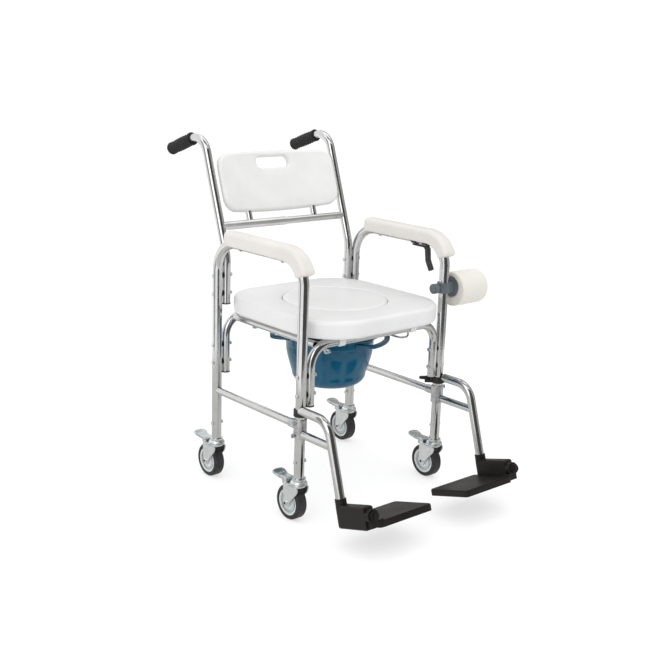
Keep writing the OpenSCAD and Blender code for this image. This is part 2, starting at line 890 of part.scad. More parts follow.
module hinge_block(s) {
  edge = 3;
  block_h = block_z1 - block_z0;
  color([0.12, 0.11, 0.11]) place() foot_frame(s) difference() {
    union() {
      hull() {
        translate([0, 0, block_z0 + edge]) linear_extrude(block_h - 2 * edge) block_plan(0);
        translate([0, 0, block_z0]) linear_extrude(block_h) block_plan(edge);
      }
      translate([0, 0, block_z1 - 1]) cylinder(r = 13.6, h = 15);
    }
    cylinder(r = sr + eps, h = 60);
    translate([0, block_y1 + 20, hinge_z]) y_rod(10, 42);
    translate([-s * 8, block_y1 / 2, block_z0 + 4]) cube([30, 70, 8.2], center = true);
  }
}

module hinge_block_right() {
  hinge_block(-1);
}

module hinge_block_left() {
  hinge_block(1);
}

module hinge_pin(s) {
  color([0.10, 0.10, 0.10]) place() foot_frame(s) union() {
    translate([0, -92, hinge_z]) y_rod(10 - 2 * eps, 42);
    translate([0, lug_y1 - 3.7, hinge_z]) y_rod(23, 7);
    translate([0, lug_y1 - 9.2, hinge_z]) y_rod(15, 4.4);
  }
}

module hinge_pin_right() {
  hinge_pin(-1);
}

module hinge_pin_left() {
  hinge_pin(1);
}

module foot_plate(s) {
  plate_x0 = block_w / 2 + 0.6;
  plate_mid_x = -s * (plate_x0 + plate_len / 2);
  plate_mid_y = 17 - plate_depth / 2;
  lug_y = (block_y1 + lug_y1) / 2 - 0.2;
  lug_t = 13.6;
  color([0.17, 0.16, 0.16]) place() foot_frame(s) difference() {
    union() {
      translate([plate_mid_x, plate_mid_y, plate_top - plate_t])
        linear_extrude(plate_t - 2) round_rect(plate_len, plate_depth, 9);
      translate([plate_mid_x, plate_mid_y, plate_top - 3])
        linear_extrude(3) round_rect(plate_len - 3, plate_depth - 3, 8);
      translate([0, lug_y, hinge_z]) y_rod(32, lug_t);
      translate([-s * 10, lug_y, plate_top - plate_t / 2 + 3]) cube([38, lug_t, plate_t], center = true);
    }
    translate([0, -100, hinge_z]) y_rod(10 + eps, 40);
    translate([plate_mid_x, plate_mid_y, plate_top - plate_t - 1])
      linear_extrude(10) round_rect(plate_len - 12, plate_depth - 34, 6);
  }
}

module foot_plate_right() {
  foot_plate(-1);
}

module foot_plate_left() {
  foot_plate(1);
}

// ---------- paper roll holder ----------
module roll_clamp() {
  color([0.38, 0.41, 0.44]) place() translate([hx, -hy, spindle_z]) difference() {
    union() {
      cylinder(r = 17.5, h = 27, center = true);
      translate([15, 0, 0]) cube([22, 24, 27], center = true);
      translate([-21, 0, 0]) x_rod(12, 12);
      translate([-33, 0, 0]) x_rod(26, 12);
      translate([-39.5, 0, 0]) x_rod(20, 3);
    }
    cylinder(r = tr + eps, h = 60, center = true);
    translate([20, 0, 0]) x_rod(12, 24);
  }
}

module roll_spindle() {
  color([0.20, 0.22, 0.24]) place() translate([hx, -hy, spindle_z]) union() {
    translate([20.4, 0, 0]) x_rod(12 - 2 * eps, 12.4);
    translate([26.2, 0, 0]) rotate([0, 90, 0]) cylinder(r1 = 27, r2 = 25, h = 2.2);
    translate([28, 0, 0]) rotate([0, 90, 0]) cylinder(r = spindle_r, h = roll_len + 3);
    translate([28 + roll_len + 2, 0, 0]) rotate([0, 90, 0]) cylinder(r1 = 17, r2 = 14, h = 4);
  }
}

module paper_roll() {
  r = roll_d / 2;
  color([0.93, 0.92, 0.88]) place() translate([roll_x0 + 2, -hy, roll_z]) rotate([0, 90, 0])
    rotate_extrude() polygon([[core_r, 0], [r - 3, 0], [r, 3], [r, roll_len - 9],
      [r - 3, roll_len - 3], [r - 9, roll_len], [core_r, roll_len]]);
}

// ---------- strap tied under the left arm ----------
module arm_strap() {
  color([0.06, 0.06, 0.06]) place() translate([hx, 0, 0]) union() {
    difference() {
      union() {
        translate([0, -64, arm_z]) y_rod(tube_d + 7, 13);
        translate([0, -105.6, arm_z]) y_rod(tube_d + 7, 13);
      }
      translate([0, -84, arm_z]) y_rod(tube_d + 2 * eps, 80);
      translate([0, -84, arm_z + 10.3]) cube([60, 80, 32], center = true);
    }
    rotate([90, 0, 90]) translate([0, 0, -6]) linear_extrude(12)
      polygon([[-58, 626.7], [-109, 626.7], [-114, 620], [-117, 592], [-130, 568],
        [-122, 563], [-108, 588], [-104, 618], [-99, 622.6], [-58, 623]]);
  }
}

side_frame_right();
side_frame_left();
lower_rails();
rail_sleeves();
sleeve_screws();
seat_frame_front();
seat_frame_rear();
seat_rails();
bucket_rails();
seat_clips();
frame_bolts();
frame_spacers();
tube_caps();
back_cane_right();
back_cane_left();
grip_right();
grip_left();
cross_bar_outer();
cross_bar_inner();
back_stubs();
backrest();
arm_pad_right();
arm_pad_left();
arm_pad_screws();
seat();
seat_lid();
bucket();
caster_stems();
fork_front_right();
fork_front_left();
fork_rear_right();
fork_rear_left();
hub_front_right();
hub_front_left();
hub_rear_right();
hub_rear_left();
tyre_front_right();
tyre_front_left();
tyre_rear_right();
tyre_rear_left();
pedal_front_right();
pedal_front_left();
pedal_rear_right();
pedal_rear_left();
hanger_right();
hanger_left();
hanger_clamps_right();
hanger_clamps_left();
latch_right();
latch_left();
hinge_block_right();
hinge_block_left();
hinge_pin_right();
hinge_pin_left();
foot_plate_right();
foot_plate_left();
roll_clamp();
roll_spindle();
paper_roll();
arm_strap();
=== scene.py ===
import json
import math

import bpy
import bmesh
from mathutils import Matrix, Vector, noise


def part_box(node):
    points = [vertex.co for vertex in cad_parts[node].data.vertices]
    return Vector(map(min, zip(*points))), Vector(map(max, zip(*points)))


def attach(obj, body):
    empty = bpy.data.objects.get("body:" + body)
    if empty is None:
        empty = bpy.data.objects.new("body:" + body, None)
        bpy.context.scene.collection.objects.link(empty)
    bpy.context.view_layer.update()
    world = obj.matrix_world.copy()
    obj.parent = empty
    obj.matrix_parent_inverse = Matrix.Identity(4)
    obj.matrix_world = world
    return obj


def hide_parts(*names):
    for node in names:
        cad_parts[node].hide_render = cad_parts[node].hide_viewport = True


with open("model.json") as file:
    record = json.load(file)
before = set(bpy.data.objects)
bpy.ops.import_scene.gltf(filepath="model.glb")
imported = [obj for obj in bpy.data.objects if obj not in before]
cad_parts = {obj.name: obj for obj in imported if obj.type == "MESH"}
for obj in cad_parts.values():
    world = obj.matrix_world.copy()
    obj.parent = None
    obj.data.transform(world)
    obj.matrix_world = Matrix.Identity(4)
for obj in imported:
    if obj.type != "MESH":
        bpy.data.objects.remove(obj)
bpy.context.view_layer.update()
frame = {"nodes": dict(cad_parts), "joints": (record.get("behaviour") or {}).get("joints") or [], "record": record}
nodes = frame["nodes"]
record = frame["record"]

# ---------------------------------------------------------------- places
# The chair frame has x = 0, y = 0 midway between the four swivel casters, mm.
CORNERS = {"front_right": (-1, -1), "front_left": (1, -1),
           "rear_right": (-1, 1), "rear_left": (1, 1)}
SIDES = {"right": -1, "left": 1}
swivels = [Vector(j["pos_m"]) for j in frame["joints"] if j["name"].startswith("swivel_")]
origin = sum(swivels, Vector()) / len(swivels)
origin.z = 0.0
# half the distance between the legs, across and front to rear, mm
HX = 235.0
HY = 173.0
# the push-handle tubes lean back above this height
LEAN = math.radians(19.2)
CANE_BEND_Z = 597.0


def at(x, y, z):
    """A point of the chair frame, given in mm, in the row frame."""
    return origin + Vector((x, y, z)) / 1000.0


def leaned(x, y, z):
    """A point given along the leaning canes: z runs up the slope, y to the rear."""
    return at(x, HY + y * math.cos(LEAN) + z * math.sin(LEAN),
              CANE_BEND_Z - y * math.sin(LEAN) + z * math.cos(LEAN))


# ---------------------------------------------------------------- materials
class Paint:
    """A node material whose pattern lies in object coordinates, in metres."""

    def __init__(self, name, metallic=0.0, **inputs):
        self.material = bpy.data.materials.new(name)
        self.material.use_nodes = True
        self.tree = self.material.node_tree
        self.tree.nodes.clear()
        out = self.tree.nodes.new("ShaderNodeOutputMaterial")
        self.bsdf = self.tree.nodes.new("ShaderNodeBsdfPrincipled")
        self.tree.links.new(self.bsdf.outputs[0], out.inputs["Surface"])
        self.bsdf.inputs["Metallic"].default_value = metallic
        for key, value in inputs.items():
            self.bsdf.inputs[key.replace("_", " ")].default_value = value
        self.place = self.tree.nodes.new("ShaderNodeTexCoord").outputs["Object"]

    def feed(self, socket, value):
        """Links a socket, or sets a plain value."""
        if isinstance(value, bpy.types.NodeSocket):
            self.tree.links.new(value, socket)
        else:
            socket.default_value = value

    def stretched(self, scale):
        """Object coordinates, scaled on each axis."""
        node = self.tree.nodes.new("ShaderNodeMapping")
        node.inputs["Scale"].default_value = scale
        self.tree.links.new(self.place, node.inputs["Vector"])
        return node.outputs[0]

    def noise(self, scale, detail=3.0, rough=0.55, where=None):
        node = self.tree.nodes.new("ShaderNodeTexNoise")
        self.tree.links.new(where or self.place, node.inputs["Vector"])
        node.inputs["Scale"].default_value = scale
        node.inputs["Detail"].default_value = detail
        node.inputs["Roughness"].default_value = rough
        return node.outputs[0]

    def cells(self, scale, feature="F1"):
        node = self.tree.nodes.new("ShaderNodeTexVoronoi")
        node.feature = feature
        self.tree.links.new(self.place, node.inputs["Vector"])
        node.inputs["Scale"].default_value = scale
        return node.outputs["Distance"]

    def wave(self, scale, direction="X"):
        node = self.tree.nodes.new("ShaderNodeTexWave")
        node.bands_direction = direction
        self.tree.links.new(self.place, node.inputs["Vector"])
        node.inputs["Scale"].default_value = scale
        node.inputs["Distortion"].default_value = 0.0
        return node.outputs["Fac"]

    def math(self, operation, a, b=0.0):
        """An operation on sockets or plain numbers."""
        node = self.tree.nodes.new("ShaderNodeMath")
        node.operation = operation
        self.feed(node.inputs[0], a)
        self.feed(node.inputs[1], b)
        return node.outputs[0]

    def spread(self, value, low, high, lo_in=0.3, hi_in=0.7):
        """Stretches the range lo_in to hi_in of a value onto low to high."""
        node = self.tree.nodes.new("ShaderNodeMapRange")
        self.tree.links.new(value, node.inputs["Value"])
        for key, number in zip(("From Min", "From Max", "To Min", "To Max"),
                               (lo_in, hi_in, low, high)):
            node.inputs[key].default_value = number
        return node.outputs[0]

    def mix(self, factor, a, b):
        """A blend of two colours, each a socket or three numbers."""
        node = self.tree.nodes.new("ShaderNodeMix")
        node.data_type = "RGBA"
        self.feed(node.inputs["Factor"], factor)
        for socket, value in ((node.inputs["A"], a), (node.inputs["B"], b)):
            self.feed(socket, value if isinstance(value, bpy.types.NodeSocket) else (*value, 1.0))
        return node.outputs["Result"]

    def axis(self, index):
        """One object coordinate: 0 for x, 1 for y, 2 for z."""
        node = self.tree.nodes.new("ShaderNodeSeparateXYZ")
        self.tree.links.new(self.place, node.inputs[0])
        return node.outputs[index]

    def edges(self, radius):
        """Rounds hard edges in shading, by the radius in metres."""
        node = self.tree.nodes.new("ShaderNodeBevel")
        node.samples = 4
        node.inputs["Radius"].default_value = radius
        return node.outputs[0]

    def relief(self, *layers, edge=0.0):
        """Stacks bump layers, each (height socket, depth in metres)."""
        normal = self.edges(edge) if edge else None
        for height, depth in layers:
            node = self.tree.nodes.new("ShaderNodeBump")
            node.inputs["Strength"].default_value = 1.0
            node.inputs["Distance"].default_value = depth
            self.tree.links.new(height, node.inputs["Height"])
            if normal is not None:
                self.tree.links.new(normal, node.inputs["Normal"])
            normal = node.outputs[0]
        if normal is not None:
            self.tree.links.new(normal, self.bsdf.inputs["Normal"])

    def set(self, **inputs):
        """Sets or links the inputs of the shader, by name."""
        for key, value in inputs.items():
            socket = self.bsdf.inputs[key.replace("_", " ")]
            if isinstance(value, tuple):
                value = (*value, 1.0)
            self.feed(socket, value)
        return self


def tube_paint(name):
    """Polished, clear anodised tube: fine drawn lines, faint cloudiness and handling marks."""
    p = Paint(name, metallic=1.0)
    cloud = p.noise(26.0, 4.0)
    smear = p.noise(9.0, 2.0, where=p.stretched((1.0, 1.0, 0.25)))
    lines = p.noise(1500.0, 2.0, where=p.stretched((1.0, 1.0, 0.02)))
    specks = p.cells(330.0)
    p.set(Base_Color=p.mix(p.spread(cloud, 0.0, 1.0), (0.64, 0.640, 0.640), (0.72, 0.720, 0.718)),
          Roughness=p.math("ADD", p.spread(smear, 0.11, 0.20), p.spread(specks, 0.05, 0.0, 0.0, 0.12)),
          Anisotropic=0.35)
    p.relief((lines, 0.000004), (p.noise(70.0, 2.0), 0.00004))
    return p


CAST_DARK, CAST_PALE = (0.50, 0.51, 0.515), (0.66, 0.665, 0.67)


def pebbled(name):
    """Bare cast metal: fine pebbling and rounded edges."""
    p = Paint(name, metallic=1.0)
    p.relief((p.noise(900.0, 3.0), 0.00006), (p.noise(120.0, 2.0), 0.0002), edge=0.0012)
    return p


def cast_paint(name):
    """Satin die-cast clamp."""
    p = pebbled(name)
    p.set(Base_Color=p.mix(p.spread(p.noise(60.0, 4.0), 0.0, 1.0), CAST_DARK, CAST_PALE),
          Roughness=p.spread(p.noise(300.0, 3.0), 0.24, 0.38))
    return p


def clamp_paint(name, split):
    """Cast clamps, black plastic above the height of the split, in metres."""
    p = pebbled(name)
    upper = p.math("GREATER_THAN", p.axis(2), split)
    shade = p.spread(p.noise(80.0, 3.0), 0.0, 1.0)
    silver = p.mix(shade, CAST_DARK, CAST_PALE)
    black = p.mix(shade, (0.008, 0.007, 0.007), (0.016, 0.014, 0.013))
    p.set(Base_Color=p.mix(upper, silver, black), Metallic=p.math("SUBTRACT", 1.0, upper),
          Roughness=p.math("ADD", p.spread(p.noise(300.0, 3.0), 0.26, 0.36),
                           p.math("MULTIPLY", upper, 0.1)))
    return p


def zinc_paint(name, dark=0.0):
    """Zinc plated pressed steel: bluish patches, faint spangle, soft press edges."""
    p = Paint(name, metallic=1.0)
    low = tuple(c - dark for c in (0.62, 0.665, 0.67))
    high = tuple(c - dark for c in (0.93, 0.95, 0.95))
    patches = p.noise(240.0, 4.0, 0.7)
    spangle = p.cells(420.0)
    p.set(Base_Color=p.mix(p.spread(patches, 0.0, 1.0), low, high),
          Roughness=p.math("ADD", p.spread(patches, 0.34, 0.22), p.spread(spangle, 0.0, 0.08, 0.0, 0.6)))
    p.relief((p.noise(700.0, 2.0), 0.00003), edge=0.0009)
    return p


def plastic_paint(name, low, high, rough, grain=1100.0, depth=0.00006, edge=0.0012, **more):
    """Moulded plastic: spark-eroded grain, uneven gloss, faint flow marks."""
    p = Paint(name, **more)
    flow = p.noise(18.0, 3.0)
    grains = p.noise(grain, 3.0, 0.6)
    p.set(Base_Color=p.mix(p.spread(flow, 0.0, 1.0), low, high),
          Roughness=p.math("ADD", p.spread(flow, rough - 0.05, rough + 0.05),
                           p.spread(grains, -0.04, 0.05)))
    p.relief((grains, depth), (p.noise(45.0, 2.0), 0.00012), edge=edge)
    return p


def skin_paint(name, low, high, rough, scatter):
    """Self-skinned moulded foam: a fine leather-like pebble, soft sheen, slight scatter."""
    p = Paint(name, Subsurface_Weight=scatter, Subsurface_Scale=0.004)
    p.bsdf.inputs["Subsurface Radius"].default_value = (1.0, 0.8, 0.6)
    pebble = p.cells(520.0, "SMOOTH_F1")
    cloud = p.noise(7.0, 3.0)
    pores = p.noise(1600.0, 2.0)
    p.set(Base_Color=p.mix(p.spread(cloud, 0.0, 1.0), low, high),
          Roughness=p.math("ADD", p.spread(cloud, rough - 0.04, rough + 0.04),
                           p.spread(pebble, 0.03, -0.02, 0.0, 0.6)))
    p.relief((pebble, 0.00005), (pores, 0.00002), (p.noise(22.0, 2.0), 0.0005))
    return p


def rubber_paint(name, low, high, rough, dust=0.012, ribs=False):
    """Rubber: very fine matt grain, a little dust in the low spots, mould lines on the tread."""
    p = Paint(name, Specular_IOR_Level=0.28)
    dusty = p.noise(38.0, 5.0, 0.65)
    tone = p.mix(p.spread(dusty, 0.0, 1.0), low, high)
    grey = tuple(c + dust for c in high)
    p.set(Base_Color=p.mix(p.spread(p.noise(140.0, 4.0), 0.0, 1.0, 0.52, 0.8), tone, grey),
          Roughness=p.spread(p.noise(220.0, 3.0), rough - 0.06, rough + 0.08))
    layers = [(p.noise(1300.0, 3.0), 0.00008)]
    if ribs:
        layers.append((p.wave(70.0, "X"), 0.0006))
    p.relief(*layers, edge=0.0008)
    return p


def webbing_paint(name):
    """Black woven tape: a plain weave, its threads about 1 mm across."""
    p = Paint(name, Sheen_Weight=0.3)
    warp = p.wave(160.0, "Z")
    weft = p.wave(160.0, "X")
    weave = p.math("MULTIPLY", warp, weft)
    p.set(Base_Color=p.mix(weave, (0.010, 0.010, 0.011), (0.035, 0.035, 0.037)), Roughness=0.75)
    p.relief((weave, 0.0004), (p.noise(1500.0, 2.0), 0.0001))
    return p


def paper_paint(name, centre):
    """Soft tissue: quilted dots, fibres, and rings of layers on the two ends."""
    p = Paint(name, Subsurface_Weight=0.15, Subsurface_Scale=0.003, Sheen_Weight=0.2)
    y = p.math("SUBTRACT", p.axis(1), centre.y)
    z = p.math("SUBTRACT", p.axis(2), centre.z)
    radius = p.math("SQRT", p.math("ADD", p.math("MULTIPLY", y, y), p.math("MULTIPLY", z, z)))
    wobble = p.math("MULTIPLY", p.noise(60.0, 3.0), 0.0012)
    layers = p.math("SINE", p.math("MULTIPLY", p.math("ADD", radius, wobble), 5200.0))
    dots = p.cells(210.0, "SMOOTH_F1")
    fibres = p.noise(900.0, 4.0, 0.7)
    p.set(Base_Color=p.mix(p.spread(fibres, 0.0, 1.0), (0.63, 0.615, 0.56), (0.73, 0.715, 0.665)),
          Roughness=0.9)
    p.relief((layers, 0.00012), (dots, 0.0004), (fibres, 0.0002))
    return p


roll_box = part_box("paper_roll")
BLACK = ((0.0085, 0.0068, 0.0066), (0.0150, 0.0120, 0.0115))
FOAM_WHITE = ((0.69, 0.69, 0.692), (0.735, 0.735, 0.735))
paints = {
    "tube_aluminium": tube_paint("tube_aluminium"),
    "cast_aluminium": cast_paint("cast_aluminium"),
    "steel_hardware": zinc_paint("steel_hardware", 0.04),
    "black_plastic": plastic_paint("black_plastic", *BLACK, 0.42, 900.0, 0.0001,
                                   Specular_IOR_Level=0.26),
    "grip_rubber": rubber_paint("grip_rubber", (0.008, 0.0078, 0.0082), (0.018, 0.017, 0.018), 0.50),
    "strap_webbing": webbing_paint("strap_webbing"),
    "white_plastic": plastic_paint("white_plastic", (0.68, 0.682, 0.668), (0.725, 0.727, 0.715), 0.36,
                                   600.0, 0.00004, 0.002),
    "seat_skin": skin_paint("seat_skin", *FOAM_WHITE, 0.34, 0.12),
    "lid_skin": skin_paint("lid_skin", *FOAM_WHITE, 0.34, 0.12),
    "pad_cream": skin_paint("pad_cream", (0.655, 0.635, 0.605), (0.705, 0.685, 0.655), 0.40, 0.15),
    "pan_blue": plastic_paint("pan_blue", (0.002, 0.072, 0.140), (0.005, 0.098, 0.180), 0.13,
                              500.0, 0.00001, 0.001, Specular_IOR_Level=0.5),
    "zinc_steel": zinc_paint("zinc_steel"),
    "pedal_steel": zinc_paint("pedal_steel", 0.16),
    "hub_plastic": plastic_paint("hub_plastic", (0.54, 0.575, 0.58), (0.68, 0.71, 0.71), 0.40),
    "tyre_rubber": rubber_paint("tyre_rubber", (0.018, 0.0165, 0.0185), (0.034, 0.031, 0.034), 0.46,
                                 ribs=True),
    "grey_plastic": plastic_paint("grey_plastic", (0.075, 0.092, 0.105), (0.125, 0.148, 0.162), 0.36),
    "roll_paper": paper_paint("roll_paper", (roll_box[0] + roll_box[1]) / 2),
    "two_tone_clamp": clamp_paint("two_tone_clamp", 0.26),
}


def wear(obj, name):
    """Gives a CAD node the named paint."""
    obj.data.materials.clear()
    obj.data.materials.append(paints[name].material)


for part in record["subparts"]:
    wear(nodes[part["node"]], part["material_slot"])
for side in SIDES:
    wear(nodes["hanger_clamps_" + side], "two_tone_clamp")


# ---------------------------------------------------------------- mesh helpers
def piece(name, points, faces, body, slot, hard=40.0):
    """A mesh piece that rides on a body and wears the paint of a slot."""
    mesh = bpy.data.meshes.new(name)
    mesh.from_pydata([tuple(p) for p in points], [], faces)
    mesh.validate()
    bm = bmesh.new()
    bm.from_mesh(mesh)
    bmesh.ops.recalc_face_normals(bm, faces=bm.faces)
    bm.to_mesh(mesh)
    bm.free()
    mesh.polygons.foreach_set("use_smooth", [True] * len(mesh.polygons))
    mesh.set_sharp_from_angle(angle=math.radians(hard))
    obj = bpy.data.objects.new(name, mesh)
    bpy.context.scene.collection.objects.link(obj)
    obj.data.materials.append(paints[slot].material)
    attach(obj, body)
    return obj


def skin(rings, stack_closed=False):
    """Points and faces of a closed surface through rings of equal length.

    The first and last rings get caps, or are joined to each other."""
    n = len(rings[0])
    points = [p for ring in rings for p in ring]
    faces = []
    rows = len(rings) if stack_closed else len(rings) - 1
    for r in range(rows):
        a, b = r * n, ((r + 1) % len(rings)) * n
        for i in range(n):
            k = (i + 1) % n
            faces.append((a + i, a + k, b + k, b + i))
    if not stack_closed:
        faces.append(tuple(range(n)))
        faces.append(tuple(range((len(rings) - 1) * n, len(rings) * n)))
    return points, faces


def turn(steps):
    """The angles of a full turn."""
    return [2 * math.pi * i / steps for i in range(steps)]


def round_outline(width, height, radius, corner=14, straight=12, cy=0.0):
    """Rounded rectangle, the same number of points whatever its size."""
    out = []
    w, h = width / 2 - radius, height / 2 - radius
    for k, (sx, sy) in enumerate(((1, 1), (-1, 1), (-1, -1), (1, -1))):
        for i in range(corner + 1):
            a = math.radians(90 * k + 90 * i / corner)
            out.append((sx * w + radius * math.cos(a), cy + sy * h + radius * math.sin(a)))
        nx, ny = ((-1, 1), (-1, -1), (1, -1), (1, 1))[k]
        a = math.radians(90 * (k + 1))
        start = out[-1]
        end = (nx * w + radius * math.cos(a), cy + ny * h + radius * math.sin(a))
        for i in range(1, straight):
            t = i / straight
            out.append((start[0] + (end[0] - start[0]) * t, start[1] + (end[1] - start[1]) * t))
    return out


def lathe(profile, centre, steps=144):
    """Surface of revolution about an upright axis, its profile (radius, height) in mm."""
    return skin([[centre + Vector((r * math.cos(a), r * math.sin(a), z)) / 1000.0 for a in turn(steps)]
                 for r, z in profile])


class Heap:
    """Several closed surfaces gathered into one mesh."""

    def __init__(self):
        self.points, self.faces = [], []

    def add(self, rings, stack_closed=False):
        points, faces = skin(rings, stack_closed=stack_closed)
        self.faces += [tuple(i + len(self.points) for i in f) for f in faces]
        self.points += points


# ---------------------------------------------------------------- seat and lid
SEAT_W, SEAT_Y0, SEAT_Y1, SEAT_R = 434.0, -235.0, 206.0, 116.0
SEAT_Z0, SEAT_Z1 = 455.0, 499.0
# the round opening, the step that the lid rests on, and the lid's middle
HOLE_R, STEP_R, STEP_Z, LID_Y = 112.0, 135.8, 485.0, -15.0
LID_Z0, LID_Z1 = 475.0, 500.0


def seat_ring(inset, z):
    """The seat's outline, moved in by inset."""
    depth = SEAT_Y1 - SEAT_Y0
    line = round_outline(SEAT_W - 2 * inset, depth - 2 * inset, SEAT_R - inset,
                         cy=(SEAT_Y0 + SEAT_Y1) / 2)
    return [(x, y, z) for x, y in line]


def circle_ring(radius, z):
    """A ring about the lid's middle, its points in line with those of the outline."""
    out = []
    for x, y, _ in seat_ring(0, 0):
        a = math.atan2(y - LID_Y, x)
        out.append((radius * math.cos(a), LID_Y + radius * math.sin(a), z))
    return out


def between(a, b, t, lift):
    """A ring part of the way from one to another, raised by lift."""
    return [(u[0] + (v[0] - u[0]) * t, u[1] + (v[1] - u[1]) * t, u[2] + (v[2] - u[2]) * t + lift)
            for u, v in zip(a, b)]


def make_seat():
    """Moulded foam seat with a crowned top and a stepped round opening."""
    side = [(9.0, SEAT_Z0), (5.0, 455.5), (2.2, 457.2), (0.9, 459.8), (0.3, 464.0), (0.0, 470.0),
            (0.0, 480.0), (0.0, 488.4), (0.4, 491.4), (1.6, 494.4), (3.8, 496.9), (6.8, 498.4),
            (10.5, SEAT_Z1), (16.0, 499.2)]
    rings = [circle_ring(HOLE_R, SEAT_Z0)]
    rings += [seat_ring(inset, z) for inset, z in side]
    edge, rim = rings[-1], circle_ring(145.0, SEAT_Z1)
    rings += [between(edge, rim, t, 1.2 * math.sin(math.pi * t)) for t in (0.15, 0.35, 0.6, 0.82)]
    rings += [circle_ring(r, z) for r, z in (
        (145.0, SEAT_Z1), (141.6, 498.9), (139.2, 498.3), (137.4, 497.2), (136.3, 495.4),
        (135.9, 492.0), (STEP_R, STEP_Z), (124.0, STEP_Z), (HOLE_R, STEP_Z), (HOLE_R, 470.0))]
    rings = [[at(*p) for p in ring] for ring in rings]
    points, faces = skin(rings, stack_closed=True)
    obj = piece("seat_pad", points, faces, "frame", "seat_skin", 50.0)
    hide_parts("seat")


def make_lid():
    """Round foam plug with a rounded rim, resting on the seat's step."""
    profile = [(0.4, LID_Z0), (60.0, LID_Z0), (106.0, LID_Z0), (109.5, 475.8), (110.5, 477.5),
               (110.5, 485.1), (134.9, 485.1), (135.1, 492.0), (134.8, 495.2), (133.8, 497.2),
               (132.0, 498.4), (129.4, 499.0), (125.0, 499.3), (110.0, 499.5), (80.0, 499.8),
               (40.0, LID_Z1), (12.0, LID_Z1), (0.4, LID_Z1)]
    points, faces = lathe(profile, at(0, LID_Y, 0))
    obj = piece("seat_lid_pad", points, faces, "lid", "lid_skin", 50.0)
    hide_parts("seat_lid")


# ---------------------------------------------------------------- arm pads
# height of the arm tube, radius of its front bend, rear end of the pad, and how far it turns down
ARM_Z, FRONT_BEND, PAD_REAR, PAD_TURN = 642.5, 60.0, 122.0, 68.0
PAD_CAP = 6.0
TUBE_GROOVE = 12.75


def pad_section(inset, crown):
    """U-shaped section in mm, x across the arm and y away from the tube axis."""
    outer = []
    half, low, high, r = 20.0 - inset, -5.5 + inset * 0.4, 29.5 - inset, 10.5 - inset * 0.6
    for cx, cy, a0, a1, steps in ((-half + 3.5, low + 3.5, 270, 180, 5),
                                  (-half + r, high - r, 180, 90, 10),
                                  (half - r, high - r, 90, 0, 10),
                                  (half - 3.5, low + 3.5, 0, -90, 5)):
        rad = 3.5 if steps == 5 else r
        for i in range(steps + 1):
            a = math.radians(a0 + (a1 - a0) * i / steps)
            outer.append([cx + rad * math.cos(a), cy + rad * math.sin(a)])
        if steps == 10 and cx < 0:
            outer += [[cx + (half - r - cx) * t / 8, high] for t in range(1, 8)]
    for p in outer:
        if p[1] > 12:
            p[1] += crown * max(0.0, 1 - (p[0] / 20.0) ** 2)
        if -2 < p[1] < 24:
            p[0] += math.copysign(0.5 * math.sin(math.pi * (p[1] + 2) / 26), p[0])
    hole = [[TUBE_GROOVE * math.cos(a), TUBE_GROOVE * math.sin(a)]
            for a in (math.radians(180 * i / 16) for i in range(17))]
    return outer + [[TUBE_GROOVE, low + 0.4]] + hole + [[-TUBE_GROOVE, low + 0.4]]


def make_arm_pad(side):
    """Moulded pad that grips the arm tube and follows its front bend, with rounded ends."""
    s = SIDES[side]
    straight = PAD_REAR + HY - FRONT_BEND
    length = straight + FRONT_BEND * math.radians(PAD_TURN)
    cap = PAD_CAP
    stations = [0.0, 0.4, 1.0, 2.0, 3.4, cap]
    stations += [cap + (length - 2 * cap) * i / 56 for i in range(1, 56)]
    stations += [length - d for d in (cap, 3.4, 2.0, 1.0, 0.4, 0.0)]
    rings = []
    for d in stations:
        near = min(d, length - d)
        inset = cap - math.sqrt(cap * cap - (cap - near) ** 2) if near < cap else 0.0
        if d > straight:
            a = (d - straight) / FRONT_BEND
            cy = PAD_REAR - straight - FRONT_BEND * math.sin(a)
            cz = ARM_Z - FRONT_BEND + FRONT_BEND * math.cos(a)
        else:
            a, cy, cz = 0.0, PAD_REAR - d, ARM_Z
        ring = []
        for x, out in pad_section(inset, 1.0):
            ring.append(at(s * HX + x, cy - out * math.sin(a), cz + out * math.cos(a)))
        rings.append(ring)
    points, faces = skin(rings)
    obj = piece("arm_pad_skin_" + side, points, faces, "frame", "pad_cream", 46.0)
    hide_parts("arm_pad_" + side)


# ---------------------------------------------------------------- backrest
PANEL_W, PANEL_H, PANEL_CORNER, PANEL_THICK = 384.0, 164.0, 34.0, 20.0
# radius of the panel's curve, its lower edge along the slope, and the slot's height above that edge
PANEL_R, PANEL_S, SLOT_Z = 740.0, 107.0, 131.5
SLOT_W, SLOT_H, SLOT_R = 110.0, 31.0, 15.4


